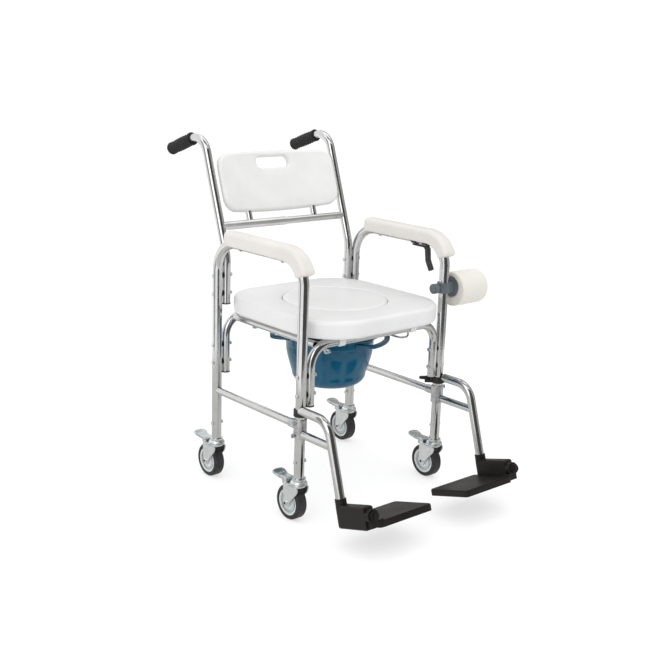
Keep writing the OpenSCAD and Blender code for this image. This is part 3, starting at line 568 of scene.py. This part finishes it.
def make_backrest():
    """Curved blow-moulded panel with soft edges and a hand slot."""
    middle = PANEL_S + PANEL_H / 2

    def outer(inset):
        """The panel's outline moved in by inset, its upper and lower edges bowed."""
        line = round_outline(PANEL_W - 2 * inset, PANEL_H - 2 * inset, PANEL_CORNER - inset, cy=middle)
        out = []
        for x, z in line:
            u, v = x / (PANEL_W / 2), (z - middle) / (PANEL_H / 2)
            out.append((x - 3.0 * u * v * v, z - (11.0 if v > 0 else 4.0) * v * u * u))
        return out

    def hand_slot(grow):
        return round_outline(SLOT_W + 2 * grow, SLOT_H + 2 * grow, SLOT_R + grow,
                             cy=PANEL_S + SLOT_Z)

    def ring(line, depth):
        """A line laid on the panel's curve, at a depth behind its front face."""
        out = []
        for x, z in line:
            reach = math.sqrt((PANEL_R + depth) ** 2 - x * x)
            out.append(leaned(x, 4.0 - PANEL_R + reach, z))
        return out

    def blended(a, b, t):
        return [(p[0] + (q[0] - p[0]) * t, p[1] + (q[1] - p[1]) * t) for p, q in zip(a, b)]

    rings = [ring(hand_slot(0), 10.0)]
    for grow, depth in ((0.0, 6.5), (0.3, 4.6), (1.0, 2.8), (2.0, 1.4), (3.4, 0.5), (5.0, 0.15)):
        rings.append(ring(hand_slot(grow), depth))
    rings += [ring(blended(hand_slot(5.0), outer(9.5), t), 0.1) for t in (0.12, 0.3, 0.55, 0.8)]
    edge = ((9.5, 0.1), (7.0, 0.6), (4.8, 1.6), (3.0, 3.0), (1.5, 5.0), (0.5, 7.6), (0.0, 10.5),
            (0.5, 13.2), (1.5, 15.4), (3.0, 17.2), (4.8, 18.6), (7.5, 19.7))
    rings += [ring(outer(inset), depth) for inset, depth in edge]
    rings += [ring(blended(outer(7.5), hand_slot(5.0), t), PANEL_THICK) for t in (0.2, 0.5, 0.8)]
    for grow, depth in ((5.0, PANEL_THICK), (3.0, 19.6), (1.4, 18.2), (0.3, 16.2), (0.0, 13.5)):
        rings.append(ring(hand_slot(grow), depth))
    points, faces = skin(rings, stack_closed=True)
    obj = piece("backrest_shell", points, faces, "frame", "white_plastic", 60.0)
    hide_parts("backrest")


# ---------------------------------------------------------------- grips
# the push-handle tubes' distance from the middle, and how far up the slope the grips' axis lies
CANE_X, GRIP_S = 208.0, 318.7
GRIP_START, GRIP_LEN, GRIP_MAX_R, GRIP_ROUND = 52.0, 105.0, 17.4, 3.4
STUD_PITCH, STUD_START, STUDS, STUD_HEIGHT = 5.2, 10.0, 12, 1.6


def make_grip(side):
    """Rubber grip with a collar, a swelling, a plain end and staggered rows of studs."""
    s = SIDES[side]
    rings = []
    steps = 132
    for k in range(steps + 1):
        u = GRIP_LEN * k / steps
        collar = 1.0 / (1.0 + math.exp((u - 5.6) / 0.5))
        tail = 1.0 / (1.0 + math.exp((GRIP_LEN - 9.0 - u) / 0.6))
        row = (u - STUD_START) / STUD_PITCH
        rib = 0.5 + 0.5 * math.cos(2 * math.pi * row)
        stagger = math.pi if int(row + 0.5) % 2 else 0
        swollen = math.sin(math.pi * min(1.0, max(0.0, (u - 6.0) / (GRIP_LEN - 18.0))))
        base = 14.3 + 2.9 * collar + 2.3 * tail + 1.5 * swollen
        end = min(u, GRIP_LEN - u, GRIP_ROUND)
        fall = GRIP_ROUND - math.sqrt(GRIP_ROUND ** 2 - (GRIP_ROUND - end) ** 2)
        ring = []
        for a in turn(120):
            peak = 0.25 + 0.75 * (0.5 + 0.5 * math.cos(STUDS * a + stagger))
            stud = (1 - collar) * (1 - tail) * STUD_HEIGHT * rib ** 0.6 * peak
            r = min(GRIP_MAX_R, base + stud) - fall
            ring.append(leaned(s * CANE_X + r * math.cos(a), GRIP_START + u, GRIP_S + r * math.sin(a)))
        rings.append(ring)
    points, faces = skin(rings)
    obj = piece("grip_skin_" + side, points, faces, "frame", "grip_rubber", 60.0)
    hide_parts("grip_" + side)


# ---------------------------------------------------------------- paper roll
def make_roll():
    """Soft, slightly uneven roll of tissue on its core."""
    low, high = roll_box
    centre = Vector((low.x, (low.y + high.y) / 2, (low.z + high.z) / 2))
    length, radius = (high.x - low.x) * 1000, (high.z - low.z) * 500

    def ripple(a, r, along):
        """The outer layers lie a little unevenly, the core doesn't."""
        if r < 22:
            return 1.0
        spot = Vector((math.cos(a) * 1.3, math.sin(a) * 1.3, along / 60.0))
        return 1.0 - 0.012 * (0.5 + 0.5 * noise.noise(spot + Vector((3.1, 0.4, 7.7))))

    profile = [(20.0, 1.2), (20.6, 0.3), (24.0, 0.0), (radius - 6.0, 0.0), (radius - 2.6, 0.5),
               (radius - 0.8, 2.2), (radius, 5.0)]
    profile += [(radius, 5.0 + (length - 17.0) * i / 14) for i in range(1, 14)]
    profile += [(radius, length - 12.0), (radius - 0.9, length - 7.4), (radius - 3.2, length - 3.6),
                (radius - 6.6, length - 1.2), (radius - 10.5, length), (24.0, length),
                (20.6, length - 0.3), (20.0, length - 1.2)]
    rings = []
    for r, along in profile:
        ring = []
        for a in turn(120):
            uneven = r * ripple(a, r, along)
            ring.append(centre + Vector((along, uneven * math.cos(a), uneven * math.sin(a))) / 1000.0)
        rings.append(ring)
    points, faces = skin(rings, stack_closed=True)
    obj = piece("paper_roll_tissue", points, faces, "roll", "roll_paper", 60.0)
    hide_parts("paper_roll")


# ---------------------------------------------------------------- pan
PAN_Z0, PAN_H, PAN_R, PAN_FLANGE, PAN_SKIN = 273.0, 137.0, 113.5, 134.0, 2.4
# the looped handles: radius of their middle, their span in degrees, and the share that curves in
LOOP_R, LOOP_SPAN, LOOP_EASE = 149.5, 79.0, 0.17


def make_pan():
    """Moulded pan with a bellied wall, a lip, a rolled flange and two looped handles."""
    def wall(z):
        return PAN_R - 16.0 * (max(0.0, 92.0 - z) / 62.0) ** 1.3

    def side(skin_t):
        """The wall from its foot to the flange, moved in by the skin."""
        r = 30.0 - skin_t
        line = [(67.5 + r * math.sin(math.radians(a)), skin_t + r * (1 - math.cos(math.radians(a))))
                for a in range(0, 90, 9)]
        line += [(wall(z) - skin_t, z) for z in (30, 36, 44, 52, 60, 68, 76, 84, 89, 91)]
        return line + [(PAN_R - skin_t, 103.0), (PAN_R + 0.3 - skin_t, 105.0),
                       (PAN_R + 1.2 - skin_t, 106.6), (PAN_R + 1.7 - skin_t, 108.4),
                       (PAN_R + 1.8 - skin_t, 111.0), (PAN_R + 1.8 - skin_t, 122.0)]

    top = PAN_H
    profile = [(0.4, 1.2), (30.0, 1.0), (46.0, 0.6), (50.0, 0.0), (60.0, 0.0)] + side(0.0)
    profile += [(PAN_R, top - 5.6), (PAN_R + 0.6, top - 4.2), (PAN_R + 2.4, top - 3.3),
                (PAN_FLANGE - 1.2, top - 3.2), (PAN_FLANGE - 0.3, top - 2.8), (PAN_FLANGE, top - 1.8),
                (PAN_FLANGE - 0.3, top - 0.6), (PAN_FLANGE - 1.4, top), (PAN_R + 4.0, top),
                (PAN_R + 0.6, top - 0.9), (PAN_R - PAN_SKIN + 0.6, top - 2.6),
                (PAN_R - PAN_SKIN, top - 6.0)]
    profile += list(reversed(side(PAN_SKIN))) + [(50.0, PAN_SKIN), (0.4, PAN_SKIN + 1.2)]
    heap = Heap()
    heap.points, heap.faces = lathe(profile, at(0, 0, PAN_Z0))
    section = round_outline(14.6, 9.0, 3.4, 5, 4)
    for first in (-96.0, 84.0):
        rings = []
        for k in range(61):
            t = k / 60
            a = math.radians(first + LOOP_SPAN * t)
            near = min(1.0, min(t, 1 - t) / LOOP_EASE)
            ease = near * near * (3 - 2 * near)
            radius = PAN_R - 2.0 + (LOOP_R - PAN_R + 2.0) * ease
            swing = (LOOP_R - PAN_R) * 6 * near * (1 - near) / LOOP_EASE
            slope = math.atan2(swing if t < 0.5 else -swing, radius * math.radians(LOOP_SPAN))
            ring = []
            for u, v in section:
                r = radius + u * math.cos(slope)
                b = a - u * math.sin(slope) / radius
                ring.append(at(r * math.cos(b), r * math.sin(b), PAN_Z0 + PAN_H - 14.3 + v))
            rings.append(ring)
        heap.add(rings)
    obj = piece("pan_shell", heap.points, heap.faces, "pan", "pan_blue", 40.0)
    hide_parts("bucket")


# ---------------------------------------------------------------- casters
# the axle's distance behind the stem, and its height
TRAIL, WHEEL_R = 25.0, 44.0
CROWN_Z0, CROWN_Z1, RACE_Z1 = 91.0, 96.0, 107.9
FORK_IN, FORK_OUT = 15.6, 18.2


def caster_at(corner, x, y, z):
    """A point of a caster, from the foot of its stem's axis."""
    sx, sy = CORNERS[corner]
    return at(sx * HX + x, sy * HY + y, z)


def axle_ring(corner, r, x, steps, y=TRAIL, z=WHEEL_R):
    """A ring about a level line across the caster, usually the axle."""
    return [caster_at(corner, x, y + r * math.cos(a), z + r * math.sin(a)) for a in turn(steps)]


def smooth_line(points, steps=6):
    """Catmull-Rom line through the points."""
    out = []
    ends = [points[0]] + list(points) + [points[-1]]
    for i in range(1, len(ends) - 2):
        p0, p1, p2, p3 = ends[i - 1:i + 3]
        for k in range(steps):
            t = k / steps
            out.append(tuple(0.5 * (2 * b + (c - a) * t + (2 * a - 5 * b + 4 * c - d) * t * t
                                    + (3 * b - a - 3 * c + d) * t ** 3)
                             for a, b, c, d in zip(p0, p1, p2, p3)))
    return out + [points[-1]]


def shrunk(line, inset):
    """The closed outline moved in by inset, along its normals."""
    out, n = [], len(line)
    for i, (u, v) in enumerate(line):
        du, dv = line[(i + 1) % n][0] - line[i - 1][0], line[(i + 1) % n][1] - line[i - 1][1]
        size = math.hypot(du, dv) or 1.0
        out.append((u - inset * dv / size, v + inset * du / size))
    return out


def make_shade_wedge_guard(corner):
    """Black wedge between the crown of the fork and the front of the tyre: the thread guard, filled out up to the
    crown so that it also paints the shade under the crown.
    """
    rings = []
    for k in range(25):
        a = math.radians(94.0 + 41.0 * k / 24)
        inner = WHEEL_R + 1.0
        # the wedge reaches up to the crown's underside, a black solid that paints the shade there
        outer = (CROWN_Z0 - 0.4 - WHEEL_R) / math.sin(a)
        if k > 18:
            outer = inner + 1.0 + (outer - inner - 1.0) * (1 - (k - 18) / 6) ** 1.2
        section = [(-14.9, inner), (-15.2, inner + 0.6), (-15.2, outer - 0.6), (-14.6, outer),
                   (14.6, outer), (15.2, outer - 0.6), (15.2, inner + 0.6), (14.9, inner)]
        rings.append([caster_at(corner, x, TRAIL + r * math.cos(a), WHEEL_R + r * math.sin(a))
                      for x, r in section])
    points, faces = skin(rings)
    piece("shade_wedge_guard_" + corner, points, faces, "caster_" + corner, "black_plastic", 40.0)


def make_fork(corner):
    """Pressed fork: two waisted plates, a crown, a double ball race and the axle."""
    heap = Heap()
    foot = [(TRAIL + 9.4 * math.cos(a), WHEEL_R + 9.4 * math.sin(a))
            for a in (math.radians(200 + 140 * i / 10) for i in range(11))]
    front = smooth_line([(-15.5, CROWN_Z0 + 1.0), (-15.0, 84.0), (-10.5, 75.0), (-2.0, 66.5),
                         (6.0, 56.5), (11.5, 49.0)])
    rear = smooth_line([(34.4, 47.5), (34.8, 58.0), (35.6, 70.0), (36.6, 82.0), (36.0, 90.0),
                        (34.0, 105.0), (30.5, 107.5), (26.5, 106.0), (25.0, CROWN_Z0 + 2.0)])
    outline = front + foot + rear
    outline.reverse()
    for d in (-1, 1):
        rings = []
        for inset, x in ((0.5, FORK_IN), (0.0, FORK_IN + 0.4), (0.0, FORK_OUT - 0.8),
                         (0.3, FORK_OUT - 0.25), (0.9, FORK_OUT)):
            rings.append([caster_at(corner, d * x, y, z) for y, z in shrunk(outline, inset)])
        heap.add(rings)
    rings = []
    for inset, z in ((1.5, CROWN_Z0), (0.4, CROWN_Z0 + 0.3), (0.0, CROWN_Z0 + 1.2),
                     (0.0, CROWN_Z1 - 1.6), (0.6, CROWN_Z1 - 0.5), (1.8, CROWN_Z1)):
        line = round_outline(2 * FORK_OUT - 2 * inset, 50.0 - 2 * inset, 15.0 - inset, 8, 6, 9.5)
        rings.append([caster_at(corner, x, y, z) for x, y in line])
    heap.add(rings)
    profile = [(7.0, CROWN_Z1 - 0.5), (19.8, CROWN_Z1 - 0.5), (21.2, CROWN_Z1 + 0.4),
               (21.6, CROWN_Z1 + 1.6), (21.2, CROWN_Z1 + 2.6), (19.6, CROWN_Z1 + 3.2),
               (18.6, CROWN_Z1 + 3.5), (18.6, CROWN_Z1 + 4.1), (20.0, CROWN_Z1 + 4.4),
               (21.2, CROWN_Z1 + 5.0), (21.4, CROWN_Z1 + 6.0), (20.6, CROWN_Z1 + 7.0),
               (17.4, RACE_Z1 - 0.8), (15.6, RACE_Z1), (7.0, RACE_Z1)]
    heap.add([[caster_at(corner, r * math.cos(a), r * math.sin(a), z) for a in turn(72)]
              for r, z in profile], stack_closed=True)
    profile = [(0.3, -22.2), (4.6, -22.0), (6.2, -21.0), (6.6, -19.6), (6.6, -18.2), (3.8, -18.0),
               (3.8, 18.0), (6.6, 18.2), (6.6, 19.6), (6.2, 21.0), (4.6, 22.0), (0.3, 22.2)]
    heap.add([axle_ring(corner, r, x, 32) for r, x in profile])
    obj = piece("fork_shell_" + corner, heap.points, heap.faces, "caster_" + corner,
                "zinc_steel", 38.0)
    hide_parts("fork_" + corner)
    caps = Heap()
    profile = [(0.3, 22.0), (3.3, 22.0), (3.5, 22.3), (3.2, 22.9), (2.0, 23.2), (0.3, 23.3)]
    for d in (-1, 1):
        caps.add([axle_ring(corner, r, d * x, 24) for r, x in profile])
    piece("axle_caps_" + corner, caps.points, caps.faces, "caster_" + corner, "black_plastic", 40.0)


def make_pedal(corner):
    """Pressed brake pedal: an inverted channel that widens to a leaf, with its shoe."""
    heap = Heap()
    spine = smooth_line([(25.5, 104.2, 12.0, 3.0), (27.0, 104.8, 12.6, 7.0), (40.0, 104.9, 12.4, 8.0),
                         (52.0, 104.3, 12.6, 8.0), (62.0, 104.7, 14.0, 6.8), (70.0, 106.2, 17.0, 5.0),
                         (77.0, 107.8, 18.0, 4.0), (83.0, 109.0, 16.4, 3.4), (86.4, 109.5, 11.0, 3.0),
                         (87.6, 109.6, 5.0, 3.0)], 4)
    rings = []
    for y, z, w, skirt in spine:
        # a groove along the neck and a shallow dish in the leaf
        groove = 1.3 * math.exp(-((y - 50.0) / 9.0) ** 4)
        dish = 1.0 * math.exp(-((y - 74.0) / 7.0) ** 4)
        deep = -groove - dish
        section = [(-w, -skirt), (-w, -2.0), (-w + 0.5, -0.7), (-w + 1.8, 0.0), (-w * 0.72, 0.0),
                   (-w * 0.6, -dish), (-w * 0.3, deep), (0.0, deep), (w * 0.3, deep),
                   (w * 0.6, -dish), (w * 0.72, 0.0), (w - 1.8, 0.0), (w - 0.5, -0.7), (w, -2.0),
                   (w, -skirt), (w - 1.8, -skirt), (w - 1.8, -2.6), (-w + 1.8, -2.6),
                   (-w + 1.8, -skirt)]
        rings.append([caster_at(corner, x, y, z + v) for x, v in section])
    heap.add(rings)
    shoe = smooth_line([(43.0, 103.0), (42.4, 95.0), (42.2, 89.6), (44.0, 87.4), (49.0, 86.0),
                        (50.6, 87.4), (51.4, 95.0), (52.0, 103.0)], 4)
    heap.add([[caster_at(corner, x, y, z) for y, z in shrunk(shoe, inset)]
              for x, inset in ((-10.6, 0.8), (-10.0, 0.0), (10.0, 0.0), (10.6, 0.8))])
    heap.add([axle_ring(corner, r, x, 24, 29.0, 102.0)
              for r, x in ((0.3, -19.4), (2.2, -19.3), (2.5, -18.9), (2.5, -14.0), (4.0, -13.6),
                           (4.0, 13.6), (2.5, 14.0), (2.5, 18.9), (2.2, 19.3), (0.3, 19.4))])
    obj = piece("pedal_shell_" + corner, heap.points, heap.faces, "brake_" + corner,
                "pedal_steel", 45.0)
    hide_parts("pedal_" + corner)


def make_hub_face(corner):
    """Moulded disc with a ring and six small bosses on both sides of a wheel, and two thin dark rings that paint
    the shade of grooves.
    """
    heap = Heap()
    disc = [(10.6, 9.6), (10.6, 10.9), (12.2, 11.1), (12.8, 10.6), (18.8, 10.5), (19.4, 11.5),
            (21.4, 11.5), (22.0, 10.5), (26.8, 10.5), (28.2, 11.8), (28.4, 9.6)]
    boss = [(1.9, 10.2), (1.9, 11.2), (1.5, 11.7), (0.7, 11.9)]
    bosses, boss_r = 6, 15.8
    for d in (-1, 1):
        heap.add([axle_ring(corner, r, d * x, 72) for r, x in disc], stack_closed=True)
        for b in range(bosses):
            a = 2 * math.pi * (b + 0.5) / bosses
            y, z = TRAIL + boss_r * math.cos(a), WHEEL_R + boss_r * math.sin(a)
            heap.add([axle_ring(corner, r, d * x, 16, y, z) for r, x in boss])
    piece("hub_face_" + corner, heap.points, heap.faces, "wheel_" + corner, "hub_plastic", 35.0)
    # thin dark rings, standing just proud of the disc, paint the shade of grooves
    lines = Heap()
    for d in (-1, 1):
        for radius in (20.2, 24.6):
            lines.add([axle_ring(corner, r, d * x, 72)
                       for r, x in ((radius, 10.4), (radius, 11.7), (radius + 0.9, 11.7),
                                    (radius + 0.9, 10.4))], stack_closed=True)
    piece("hub_groove_shade_rings_" + corner, lines.points, lines.faces, "wheel_" + corner, "grey_plastic", 35.0)


make_seat()
make_lid()
make_backrest()
make_roll()
make_pan()
for side_name in SIDES:
    make_arm_pad(side_name)
    make_grip(side_name)
for corner_name in CORNERS:
    make_shade_wedge_guard(corner_name)
    make_fork(corner_name)
    make_pedal(corner_name)
    make_hub_face(corner_name)

# ---------------------------------------------------------------- floor, light, camera
scene = bpy.context.scene
FLOOR_HALF = 9
# the floor turns from a pale grey to pure white between these distances, in metres
FADE_START, FADE_END = 1.2, 3.2
floor_mesh = bpy.data.meshes.new("floor")
floor_mesh.from_pydata([(x * FLOOR_HALF, y * FLOOR_HALF, 0)
                        for x, y in ((-1, -1), (1, -1), (1, 1), (-1, 1))], [], [(0, 1, 2, 3)])
floor = bpy.data.objects.new("floor", floor_mesh)
scene.collection.objects.link(floor)
ground = Paint("floor")
reach = ground.math("SQRT", ground.math("ADD", ground.math("POWER", ground.axis(0), 2.0),
                                        ground.math("POWER", ground.axis(1), 2.0)))
far = ground.spread(reach, 0.0, 1.0, FADE_START, FADE_END)
pale = ground.mix(ground.noise(3.0), (0.46, 0.46, 0.46), (0.47, 0.47, 0.47))
ground.set(Base_Color=ground.mix(far, pale, (0.0, 0.0, 0.0)), Roughness=0.9,
           Emission_Color=(1.0, 1.0, 1.0), Emission_Strength=ground.spread(far, 0.54, 1.0, 0.0, 1.0))
floor_mesh.materials.append(ground.material)

# a white studio, with grey and dark cards that only reflections see
world = bpy.data.worlds.new("studio")
scene.world = world
world.use_nodes = True
backdrop = world.node_tree.nodes["Background"]
backdrop.inputs["Color"].default_value = (1, 1, 1, 1)
backdrop.inputs["Strength"].default_value = 1.0


def card(name, points, faces, level):
    """A card of the given brightness that only reflections see."""
    mesh = bpy.data.meshes.new(name)
    mesh.from_pydata(points, [], faces)
    paint = Paint(name, Roughness=1.0, Specular_IOR_Level=0.0)
    paint.set(Base_Color=(0.0, 0.0, 0.0), Emission_Color=(level, level, level * 0.97),
              Emission_Strength=1.0)
    mesh.materials.append(paint.material)
    obj = bpy.data.objects.new(name, mesh)
    scene.collection.objects.link(obj)
    obj.visible_camera = obj.visible_diffuse = obj.visible_shadow = False
    obj.visible_transmission = obj.visible_volume_scatter = False


def curved_card(name, first, last, radius, height, level):
    """An upright card round the chair, between two bearings in degrees."""
    points, steps = [], 24
    for i in range(steps + 1):
        a = math.radians(first + (last - first) * i / steps)
        for z in (0.0, height):
            points.append((radius * math.cos(a), radius * math.sin(a), z))
    faces = [(2 * i, 2 * i + 2, 2 * i + 3, 2 * i + 1) for i in range(steps)]
    card(name, points, faces, level)


curved_card("card_front", -138.0, -60.0, 1.45, 2.6, 0.07)
curved_card("card_side", -56.0, 58.0, 1.60, 2.2, 0.40)
curved_card("card_rear", 150.0, 176.0, 1.60, 2.2, 0.35)
card("card_floor", [(1.4 * math.cos(a), 1.4 * math.sin(a), 0.001) for a in turn(48)],
     [tuple(range(48))], 0.66)
card("card_top", [(-1.2, -0.1, 2.9), (0.6, -1.7, 2.9), (1.5, -0.8, 2.9), (-0.3, 0.8, 2.9)],
     [(0, 1, 2, 3)], 0.05)


def soft_light(name, place, target, size, power):
    """An area light aimed at a target."""
    data = bpy.data.lights.new(name, "AREA")
    data.shape = "RECTANGLE"
    data.size, data.size_y = size
    data.energy = power
    obj = bpy.data.objects.new(name, data)
    obj.location = place
    obj.rotation_mode = "QUATERNION"
    obj.rotation_quaternion = (Vector(target) - Vector(place)).to_track_quat("-Z", "Y")
    scene.collection.objects.link(obj)


soft_light("overhead", (0.3, 0.2, 2.8), (0, 0, 0.4), (2.2, 2.2), 8.0)
soft_light("key", (-2.6, -1.2, 2.0), (0, 0, 0.45), (1.2, 1.8), 8.0)
sun_data = bpy.data.lights.new("sky", "SUN")
sun_data.energy = 0.7
sun_data.angle = math.radians(75)
sun = bpy.data.objects.new("sky", sun_data)
sun.rotation_euler = (math.radians(24), math.radians(-20), 0)
scene.collection.objects.link(sun)

# the photograph's camera: where it stands in the chair frame, where it looks, and its roll
CAMERA_PLACE = (-1765.6, -2022.8, 1104.6)
CAMERA_AIM = (0.6399, 0.7251, -0.2543)
CAMERA_ROLL = math.radians(2.018)
camera_data = bpy.data.cameras.new("camera")
camera_data.sensor_width = 36.0
camera_data.sensor_fit = "HORIZONTAL"
camera_data.lens = 57.19
camera_data.clip_start = 0.05
camera = bpy.data.objects.new("camera", camera_data)
scene.collection.objects.link(camera)
forward = Vector(CAMERA_AIM).normalized()
level = forward.cross(Vector((0, 0, 1))).normalized()
upright = level.cross(forward)
right = level * math.cos(CAMERA_ROLL) + upright * math.sin(CAMERA_ROLL)
up = upright * math.cos(CAMERA_ROLL) - level * math.sin(CAMERA_ROLL)
camera.matrix_world = Matrix.Translation(at(*CAMERA_PLACE)) @ Matrix(
    (right, up, -forward)).transposed().to_4x4()
scene.camera = camera

scene.view_settings.view_transform = "Standard"
scene.view_settings.look = "None"
